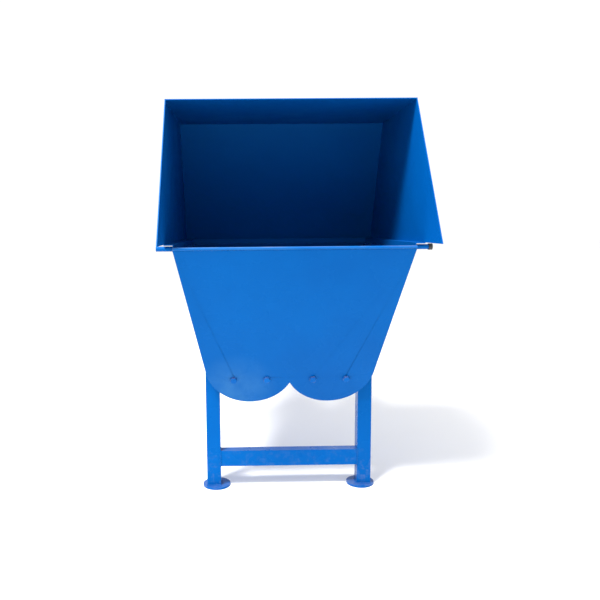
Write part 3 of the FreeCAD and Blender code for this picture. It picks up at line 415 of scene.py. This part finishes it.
for sign in (-1, 1):
    x = sign * (HOOD_INSIDE - 0.001)
    low, high = COLLAR_HEIGHT + 0.003, HOOD_TOP - 0.003
    stitches(hood_welds, hood_point(x, back_y(low), low), hood_point(x, back_y(high), high), 0.0024)
    roof_front = roof_low.y - rim.y + 0.01
    roof_back = hood_point(x, back_y(HOOD_TOP), HOOD_TOP)
    stitches(hood_welds, hood_point(x, roof_front, HOOD_TOP), roof_back, 0.0024)
stitches(
    hood_welds,
    hood_point(-HOOD_INSIDE + 0.02, back_y(HOOD_TOP), HOOD_TOP),
    hood_point(HOOD_INSIDE - 0.02, back_y(HOOD_TOP), HOOD_TOP),
    0.0024,
)
add_mesh("hood_stitch_welds", hood_welds, bead_enamel, "frame")

# The right pin's push-on cap is black vinyl, dusty and slightly dented.
def rubber(name, colour, bump_scale, bump):
    """Matte black rubber with a fine grain and a bloom of dust."""
    material, tree, shader = new_material(name)
    place = node(tree, "ShaderNodeTexCoord").outputs["Object"]
    bloom = spread(tree, noise(tree, place, 40, 5), 0.5, 0.85)
    dusty = tuple(0.6 * part + 0.025 for part in colour[:3]) + (1,)
    tree.links.new(mixed(tree, bloom, colour, dusty), shader.inputs["Base Color"])
    tree.links.new(spread(tree, bloom, 0, 1, 0.5, 0.85), shader.inputs["Roughness"])
    grain = noise(tree, place, bump_scale, 3)
    skin = node(tree, "ShaderNodeBump", {"Height": grain, "Strength": bump, "Distance": 0.0004})
    tree.links.new(skin.outputs["Normal"], shader.inputs["Normal"])
    return material


cap_vinyl = rubber("cap_vinyl", (0.012, 0.012, 0.013, 1), 900, 0.3)
finish_nodes(["rim_pin_cap"], cap_vinyl)
ease_edges(["rim_pin_cap"], 0.0015, 3)

# ---- screws -------------------------------------------------------------------------------------
# Each screw is a strip flight wound on edge round a tube and welded to it, with turned stub shafts
# plugged into the tube's ends. Grain keeps the flights bright and leaves the cores dull; here both share one
# worn steel with patchy stains.


def bare_metal(name, colour, shade, rough, lines=None, stain=0.3, polish=0.0):
    """Bare or plated steel: fine tool lines, stains and a little wear."""
    material, tree, shader = new_material(name)
    place = node(tree, "ShaderNodeTexCoord").outputs["Object"]
    cloud = spread(tree, noise(tree, place, 18, 5), 0.35, 0.7)
    stained = times(tree, cloud, stain)
    tree.links.new(mixed(tree, stained, colour, shade), shader.inputs["Base Color"])
    shader.inputs["Metallic"].default_value = 1.0
    fine = noise(tree, place, 300, 2, stretch=lines or (1, 1, 1))
    uneven = spread(tree, fine, 0.3, 0.7, rough - 0.08, rough + 0.12)
    patchy = node(tree, "ShaderNodeMath", {0: times(tree, stained, 0.5), 1: uneven}, operation="ADD")
    tree.links.new(patchy.outputs[0], shader.inputs["Roughness"])
    scored = node(tree, "ShaderNodeBump", {"Height": fine, "Strength": 0.12 + polish, "Distance": 0.0003})
    tree.links.new(scored.outputs["Normal"], shader.inputs["Normal"])
    return material


worn_steel = bare_metal("grain_worn_steel", (0.50, 0.49, 0.47, 1), (0.17, 0.12, 0.08, 1), 0.30, stain=0.8)
turned_steel = bare_metal(
    "turned_steel", (0.56, 0.56, 0.55, 1), (0.30, 0.28, 0.25, 1), 0.24, lines=(1, 12, 1)
)
finish_nodes(
    ["screw_core_left", "screw_core_right", "screw_flight_left", "screw_flight_right"], worn_steel
)
finish_nodes(["screw_stubs_left", "screw_stubs_right", "motor_shaft"], turned_steel)

CORE_RADIUS, FLIGHT_PITCH, FLIGHT_START = 0.024, 0.180, 0.076
SHOWN_TURNS = 9
for side, sign in (("left", -1), ("right", 1)):
    welds = bmesh.new()
    path = []
    for step in range(SHOWN_TURNS * 24):
        turn = 2 * math.pi * step / 24
        s = FLIGHT_START + FLIGHT_PITCH * step / 24 + 0.0028
        # The helix starts on the +X side and climbs with the hand of its own screw.
        spin = -turn if sign > 0 else turn
        path.append(at(
            SHAFT_X * sign + CORE_RADIUS * math.cos(spin), s, -SHAFT_DROP + CORE_RADIUS * math.sin(spin)
        ))
    lay_bead(welds, path, 0.0022)
    add_mesh(f"flight_weld_{side}", welds, worn_steel, f"screw_{side}")

# ---- bearings -----------------------------------------------------------------------------------
# Two-bolt flange units of grey iron carry both ends of each screw. Their castings were oversprayed,
# the bolt heads outside the front plate were painted with it, and each unit has a grease nipple.

bearing_iron = enamel("oversprayed_casting", (0.01, 0.09, 0.30, 1), (0.02, 0.05, 0.12, 1), 0.9, 0.4, 0.42)
bearing_steel = bare_metal("ground_bearing_steel", (0.6, 0.6, 0.6, 1), (0.35, 0.33, 0.3, 1), 0.2)
zinc_plate = bare_metal("zinc_plated_steel", (0.66, 0.66, 0.62, 1), (0.45, 0.43, 0.36, 1), 0.32)
painted_hex = enamel("painted_bolt_heads", (0.0, 0.11, 0.42, 1), (0.0, 0.06, 0.28, 1), 1.0, 0.3, 0.3)
HOUSINGS = [f"{end}_bearing_housing_{side}" for end in ("front", "rear") for side in ("left", "right")]
finish_nodes(HOUSINGS, bearing_iron)
ease_edges(HOUSINGS, 0.0016, 3)
finish_nodes(["bearing_inserts_left", "bearing_inserts_right"], bearing_steel)
finish_nodes(["front_bearing_bolts"], painted_hex)
ease_edges(["front_bearing_bolts"], 0.0011, 2)
finish_nodes(["front_bearing_nuts", "rear_bearing_bolts", "head_cover_screws"], zinc_plate)
ease_edges(["front_bearing_nuts", "rear_bearing_bolts"], 0.0009)
ease_edges(["head_cover_screws"], 0.0018, 3)


def skin(mesh, rings):
    """Joins rings of points into a closed shape."""
    count = len(rings[0])
    for low, high in zip(rings, rings[1:]):
        for corner in range(count):
            following = (corner + 1) % count
            mesh.faces.new((low[corner], low[following], high[following], high[corner]))
    mesh.faces.new(rings[0])
    mesh.faces.new(rings[-1])


def lathe(mesh, base, axis, profile, sides=20):
    """A turned shape: (height, radius) points spun about an axis from a base point."""
    first = axis.orthogonal().normalized()
    second = axis.cross(first)
    rings = []
    for height, radius in profile:
        ring = []
        for corner in range(sides):
            turn = 2 * math.pi * corner / sides
            out = (first * math.cos(turn) + second * math.sin(turn)) * radius
            ring.append(mesh.verts.new(base + axis * height + out))
        rings.append(ring)
    skin(mesh, rings)


def smooth(piece):
    """Shades a turned piece round, with its sharp edges kept by angle."""
    for face in piece.data.polygons:
        face.use_smooth = True
    edges = piece.modifiers.new("keep_edges", "EDGE_SPLIT")
    edges.split_angle = math.radians(38)
    return piece


NIPPLE = [
    (0, 0.0045), (0.003, 0.0045), (0.0032, 0.003), (0.008, 0.0026),
    (0.009, 0.0034), (0.011, 0.0034), (0.013, 0.002),
]
nipples = bmesh.new()
for sign in (-1, 1):
    lean = (square * 0.8 + along * 0.6).normalized()
    lathe(nipples, at(SHAFT_X * sign, PLATE + 0.020, -SHAFT_DROP + 0.0365), lean, NIPPLE, 14)
smooth(add_mesh("grease_nipples", nipples, zinc_plate, "frame"))

# ---- tubes and discharge head -------------------------------------------------------------------
# Two welded tubes close the screws above the hopper. They end in a folded head box, whose bottom
# opens into a bolted spout and whose top has a screwed cover on a rubber gasket.

HEAD_SHEETS = [
    "screw_tube_left", "screw_tube_right", "head_casing", "head_front_plate",
    "head_cover", "discharge_spout", "spout_flange",
]
finish_nodes(HEAD_SHEETS, blue_enamel)
ease_edges(["head_casing", "head_front_plate", "head_cover", "discharge_spout", "spout_flange"], 0.0012)

TUBE_OUTSIDE = 0.100
TUBE_S = REAR_S + PLATE
TUBE_LENGTH = 0.965
HEAD_S = TUBE_S + TUBE_LENGTH
head_welds = bmesh.new()
for sign in (-1, 1):
    for s in (TUBE_S + 0.001, HEAD_S - 0.001):
        centre = at(SHAFT_X * sign, s, -SHAFT_DROP)
        ring = arc_points(centre, across, square, TUBE_OUTSIDE + 0.001, 0, 360, 72)[:-1]
        lay_bead(head_welds, ring, 0.0032, closed=True)
spout_low, spout_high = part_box("discharge_spout")
corners = [
    Vector((spout_low.x, spout_low.y, spout_low.z)), Vector((spout_high.x, spout_low.y, spout_low.z)),
    Vector((spout_high.x, spout_high.y, spout_low.z)), Vector((spout_low.x, spout_high.y, spout_low.z)),
]
lay_bead(head_welds, corners, 0.003, closed=True)
add_mesh("head_and_tube_welds", head_welds, bead_enamel, "frame")

DRIVE_S = HEAD_S + 0.230
HEAD_HALF, HEAD_TOP = 0.255, 0.125 - SHAFT_DROP
gasket = bmesh.new()
LIP_X, LIP_N = HEAD_HALF + 0.001, HEAD_TOP - 0.0028
lip = [
    at(-LIP_X, DRIVE_S - 0.004, LIP_N), at(-LIP_X, HEAD_S - 0.001, LIP_N),
    at(LIP_X, HEAD_S - 0.001, LIP_N), at(LIP_X, DRIVE_S - 0.004, LIP_N),
]
lay_bead(gasket, lip, 0.0026, ripple=0.0)
gasket_rubber = rubber("gasket_rubber", (0.014, 0.014, 0.015, 1), 700, 0.3)
smooth(add_mesh("head_cover_gasket", gasket, gasket_rubber, "frame"))

# Washers under the cover screws, and thin black strips laid across the screw heads where their driver slots
# are.
COVER_TOP = HEAD_TOP + SHEET
COVER_SCREWS = [at(x, HEAD_S + PLATE / 2, COVER_TOP) for x in (-0.23, 0, 0.23)]
WASHER = [(0, 0.0118), (0.0010, 0.0118), (0.0014, 0.0112), (0.0014, 0.0080)]
washers = bmesh.new()
for spot in COVER_SCREWS:
    lathe(washers, spot, square, WASHER, 28)
smooth(add_mesh("cover_washers", washers, zinc_plate, "frame"))


def brick(mesh, centre, sides, edge=0.0004):
    """A block with its top edges taken off: its sides run across, along and square."""
    half = [side / 2 for side in sides]
    corners = {}
    for level, inset in ((-1, 0.0), (1 - edge / half[2], 0.0), (1, edge)):
        for x, s in ((-1, -1), (1, -1), (1, 1), (-1, 1)):
            spot = centre + across * x * (half[0] - inset) + along * s * (half[1] - inset)
            corners[level, x, s] = mesh.verts.new(spot + square * level * half[2])
    levels = [-1, 1 - edge / half[2], 1]
    turn = ((-1, -1), (1, -1), (1, 1), (-1, 1))
    for low, high in zip(levels, levels[1:]):
        for first, second in zip(turn, turn[1:] + turn[:1]):
            mesh.faces.new((
                corners[(low,) + first], corners[(low,) + second],
                corners[(high,) + second], corners[(high,) + first],
            ))
    mesh.faces.new([corners[(-1,) + corner] for corner in turn])
    mesh.faces.new([corners[(1,) + corner] for corner in turn])


slots = bmesh.new()
for spot in COVER_SCREWS:
    brick(slots, spot + square * 0.0038, (0.0118, 0.0016, 0.0008), 0.0002)
add_mesh("cover_screw_slots", slots, gasket_rubber, "frame")

# ---- drive --------------------------------------------------------------------------------------
# A V-belt turns the right screw, and a pair of spur gears turns the left one the other way. The
# gears are cut from steel, the pulleys cast, and all of them run on a thick plate.

gear_steel = bare_metal("oiled_gear_steel", (0.30, 0.29, 0.27, 1), (0.05, 0.04, 0.03, 1), 0.3, stain=0.9)
pulley_iron = bare_metal("pulley_iron", (0.20, 0.20, 0.21, 1), (0.06, 0.06, 0.06, 1), 0.42, stain=0.6)
finish_nodes(["drive_plate", "drive_guard"], blue_enamel)
ease_edges(["drive_plate", "drive_guard"], 0.0015, 3)
finish_nodes(["screw_gear_left", "screw_gear_right"], gear_steel)
finish_nodes(["screw_pulley", "motor_pulley"], pulley_iron)
belt_rubber = rubber("belt_rubber", (0.016, 0.016, 0.016, 1), 1400, 0.5)
finish_nodes(["drive_belt"], belt_rubber)

# ---- motor --------------------------------------------------------------------------------------
# A flanged, fan-cooled motor is bolted to the front of the drive plate. Its barrel is a ribbed
# aluminium casting in grey enamel, with a pressed fan cover and a moulded terminal box.

motor_enamel = enamel("motor_enamel", (0.16, 0.18, 0.19, 1), (0.11, 0.125, 0.13, 1), 0.5, 0.5, 0.38)
finish_nodes(["motor_body", "motor_fan_cover"], motor_enamel)
box_plastic = rubber("box_plastic", (0.035, 0.036, 0.038, 1), 500, 0.35)
finish_nodes(["terminal_box"], box_plastic)
ease_edges(["terminal_box", "motor_body"], 0.003, 3)

MOTOR_N = 0.240 - SHAFT_DROP
MOTOR_FACE = DRIVE_S - 0.0003
FLANGE_S = MOTOR_FACE - 0.012
BARREL_S = FLANGE_S - 0.210
BARREL_RADIUS, FIN_REACH = 0.080, 0.0885
FIN_STEP, BOX_FROM, BOX_TO = 9, 52, 128


def spoke(turn):
    """The two directions, outwards and sideways, at an angle round a shaft."""
    out = across * math.cos(turn) + square * math.sin(turn)
    side = across * -math.sin(turn) + square * math.cos(turn)
    return out, side


# The cooling fins run along the barrel, except where the terminal box sits. Each one's section is
# given as points out from the shaft and to the side.
FIN_ENDS = ((BARREL_S + 0.002, 0.95), (BARREL_S + 0.006, 1), (FLANGE_S - 0.030, 1), (FLANGE_S - 0.012, 0.91))
fins = bmesh.new()
for degrees in range(0, 360, FIN_STEP):
    if BOX_FROM < degrees < BOX_TO:
        continue
    out, side = spoke(math.radians(degrees))
    line = at(SHAFT_X, 0, MOTOR_N)
    rings = []
    for s, reach in FIN_ENDS:
        root, tip = BARREL_RADIUS - 0.002, FIN_REACH * reach
        section = (
            (root, -0.0019), (tip - 0.001, -0.0010), (tip, -0.0004),
            (tip, 0.0004), (tip - 0.001, 0.0010), (root, 0.0019),
        )
        middle = line + along * s
        rings.append([fins.verts.new(middle + out * far + side * aside) for far, aside in section])
    skin(fins, rings)
add_mesh("motor_cooling_fins", fins, motor_enamel, "frame")

# The fan cover is pressed from thin sheet with a rounded shoulder and a ring of slots over the fan.
COVER_SEGMENTS = 72
COVER_PROFILE = [
    (0.018, 0.0895), (-0.040, 0.0895), (-0.048, 0.0872), (-0.053, 0.0815), (-0.055, 0.0740),
    (-0.055, 0.0700), (-0.055, 0.0560), (-0.055, 0.0520), (-0.055, 0.0320), (-0.055, 0.0260),
]
SLOT_RINGS = (5, 7)
cover = bmesh.new()
hub = cover.verts.new(at(SHAFT_X, BARREL_S - 0.055, MOTOR_N))
rings = []
for offset, radius in COVER_PROFILE:
    ring = []
    for corner in range(COVER_SEGMENTS):
        out = spoke(2 * math.pi * corner / COVER_SEGMENTS)[0]
        ring.append(cover.verts.new(at(SHAFT_X, BARREL_S + offset, MOTOR_N) + out * radius))
    rings.append(ring)
for index, (low, high) in enumerate(zip(rings, rings[1:])):
    for corner in range(COVER_SEGMENTS):
        if index in SLOT_RINGS and corner % 3:
            continue
        following = (corner + 1) % COVER_SEGMENTS
        cover.faces.new((low[corner], low[following], high[following], high[corner]))
for corner in range(COVER_SEGMENTS):
    cover.faces.new((rings[-1][corner], rings[-1][(corner + 1) % COVER_SEGMENTS], hub))
fan_cover = add_mesh("motor_fan_cover_pressing", cover, motor_enamel, "frame")
thicken = fan_cover.modifiers.new("sheet", "SOLIDIFY")
thicken.thickness = 0.0012
thicken.offset = -1
smooth(fan_cover)
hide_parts("motor_fan_cover")

# Behind the slots, a moulded fan is pressed on the shaft's tail.
FAN_HUB = [(0, 0.020), (0.020, 0.018), (0.024, 0.014)]
FAN_DISC = [(0, 0.068), (0.0015, 0.070), (0.003, 0.068)]
BLADES, BLADE_SHAPE = 7, ((0.017, 0.022), (0.040, 0.030), (0.062, 0.032), (0.068, 0.026))
fan = bmesh.new()
fan_back = at(SHAFT_X, BARREL_S - 0.003, MOTOR_N)
lathe(fan, fan_back, -along, FAN_HUB, 28)
lathe(fan, fan_back, -along, FAN_DISC, 48)
for blade in range(BLADES):
    out, side = spoke(2 * math.pi * blade / BLADES)
    base = at(SHAFT_X, BARREL_S - 0.005, MOTOR_N)
    rings = []
    for reach, deep in BLADE_SHAPE:
        foot = base + out * reach
        tip = foot - along * deep
        rings.append([
            fan.verts.new(foot - side * 0.0012), fan.verts.new(tip - side * 0.0006),
            fan.verts.new(tip + side * 0.0006), fan.verts.new(foot + side * 0.0012),
        ])
    skin(fan, rings)
smooth(add_mesh("motor_fan", fan, box_plastic, "motor_rotor"))

# Four flange bolts with washers hold the motor to the drive plate.
HEX_HEAD = [(0, 0.0056), (0.0036, 0.0056), (0.0040, 0.0050)]
FLANGE_WASHER = [(0, 0.0068), (0.0012, 0.0068), (0.0015, 0.0062)]
bolts = bmesh.new()
BOLT_CIRCLE = 0.0915
for degrees in (45, 135, 225, 315):
    out = spoke(math.radians(degrees))[0]
    seat = at(SHAFT_X, FLANGE_S, MOTOR_N) + out * BOLT_CIRCLE
    lathe(bolts, seat, -along, FLANGE_WASHER, 24)
    lathe(bolts, seat - along * 0.0015, -along, HEX_HEAD, 6)
smooth(add_mesh("motor_flange_bolts", bolts, zinc_plate, "frame"))

# The terminal box has a gasketed lid with four screws, and a blanked gland for the mains cable.
BOX_S = BARREL_S + 0.040 + 0.045
BOX_TOP = MOTOR_N + BARREL_RADIUS + 0.038
lid = bmesh.new()
brick(lid, at(SHAFT_X, BOX_S, BOX_TOP + 0.0012), (0.094, 0.094, 0.0064), 0.0022)
add_mesh("terminal_box_lid", lid, box_plastic, "frame")
PAN_HEAD = [(0, 0.0034), (0.0012, 0.0034), (0.0022, 0.0026), (0.0026, 0.0012)]
lid_screws = bmesh.new()
for x in (-0.037, 0.037):
    for s in (-0.037, 0.037):
        lathe(lid_screws, at(SHAFT_X + x, BOX_S + s, BOX_TOP + 0.0042), square, PAN_HEAD, 18)
smooth(add_mesh("terminal_lid_screws", lid_screws, zinc_plate, "frame"))
GLAND = [(0, 0.0105), (0.006, 0.0105), (0.0065, 0.0092), (0.013, 0.0088), (0.016, 0.0070), (0.017, 0.0052)]
gland = bmesh.new()
gland_seat = at(SHAFT_X + 0.0445, BOX_S, BOX_TOP - 0.018)
lathe(gland, gland_seat, across, [(0, 0.0125), (0.005, 0.0125), (0.0056, 0.0116)], 6)
lathe(gland, gland_seat + across * 0.005, across, GLAND, 24)
smooth(add_mesh("terminal_box_gland", gland, box_plastic, "frame"))

# ---- guard --------------------------------------------------------------------------------------
# A folded sheet box covers the gears and the belt. It is pressed with rows of cooling louvres,
# painted with the machine, and held by plated screws along both sides.

BEARING_S = DRIVE_S + 0.006
GUARD_S = BEARING_S + 0.150
GUARD_HALF = 0.300
LOUVRE_LENGTH, LOUVRE_RISE, LOUVRE_DEPTH = 0.110, 0.016, 0.0065
louvres = bmesh.new()


def louvre(mesh, centre, length_way, up_way, out_way, length):
    """One pressed louvre: a rounded scoop that opens downwards."""
    rows = []
    for step in range(13):
        u = -1 + 2 * step / 12
        round_end = math.sqrt(max(0.0, 1 - abs(u) ** 6))
        row = []
        for rise, swell in ((1.0, 0.0), (0.75, 0.45), (0.45, 0.80), (0.15, 0.97), (0.0, 1.0)):
            spot = centre + length_way * u * length / 2 + up_way * rise * LOUVRE_RISE
            row.append(mesh.verts.new(spot + out_way * (swell * round_end * LOUVRE_DEPTH + 0.0001)))
        rows.append(row)
    for low, high in zip(rows, rows[1:]):
        for corner in range(4):
            mesh.faces.new((low[corner], low[corner + 1], high[corner + 1], high[corner]))


for row in range(7):
    n = -SHAFT_DROP - 0.075 + 0.030 * row
    for x in (-0.155, 0, 0.155):
        louvre(louvres, at(x, GUARD_S, n), across, square, along, LOUVRE_LENGTH)
for row in range(4):
    n = MOTOR_N - 0.045 + 0.030 * row
    louvre(louvres, at(SHAFT_X, GUARD_S, n), across, square, along, LOUVRE_LENGTH)
for sign in (-1, 1):
    for row in range(6):
        n = -SHAFT_DROP - 0.060 + 0.030 * row
        louvre(louvres, at(GUARD_HALF * sign, GUARD_S - 0.075, n), along, square, across * sign, 0.085)
pressing = add_mesh("guard_louvres", louvres, blue_enamel, "frame")
shell = pressing.modifiers.new("sheet", "SOLIDIFY")
shell.thickness = 0.001
smooth(pressing)

guard_screws = bmesh.new()
for sign in (-1, 1):
    for n in (-0.140, 0.095, 0.330):
        seat = at(GUARD_HALF * sign, BEARING_S + 0.014, n - SHAFT_DROP)
        lathe(guard_screws, seat, across * sign, FLANGE_WASHER, 24)
        lathe(guard_screws, seat + across * sign * 0.0015, across * sign, HEX_HEAD, 6)
smooth(add_mesh("guard_screws", guard_screws, zinc_plate, "frame"))

# ---- stand --------------------------------------------------------------------------------------
# Front and rear legs are 50 mm square tube with rounded corners, tied by flat crossbars and welded
# to round foot plates. The rear beam carries an upright plate under both tubes.

LEGS = ["front_leg_left", "front_leg_right", "rear_leg_left", "rear_leg_right"]
BARS = ["front_crossbar", "rear_crossbar", "rear_beam"]
FEET = ["front_foot_left", "front_foot_right", "rear_foot_left", "rear_foot_right"]
finish_nodes(LEGS + BARS + FEET + ["tube_saddle"], blue_enamel)
ease_edges(LEGS + BARS, 0.0035, 4)
ease_edges(FEET + ["tube_saddle"], 0.0012)

LEG_SIDE = 0.050
FOOT_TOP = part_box("front_foot_left")[1].z
stand_welds = bmesh.new()
for leg in LEGS:
    low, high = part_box(leg)
    loop = [
        Vector((low.x, low.y, FOOT_TOP)), Vector((high.x, low.y, FOOT_TOP)),
        Vector((high.x, low.y + LEG_SIDE, FOOT_TOP)), Vector((low.x, low.y + LEG_SIDE, FOOT_TOP)),
    ]
    lay_bead(stand_welds, loop, 0.003, closed=True)
for bar in BARS:
    low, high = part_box(bar)
    for x in (low.x, high.x):
        loop = [
            Vector((x, low.y, low.z)), Vector((x, high.y, low.z)),
            Vector((x, high.y, high.z)), Vector((x, low.y, high.z)),
        ]
        lay_bead(stand_welds, loop, 0.0026, closed=True)
low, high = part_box("tube_saddle")
for y in (low.y, high.y):
    lay_bead(stand_welds, [Vector((low.x, y, low.z)), Vector((high.x, y, low.z))], 0.0028)
add_mesh("stand_welds", stand_welds, bead_enamel, "frame")
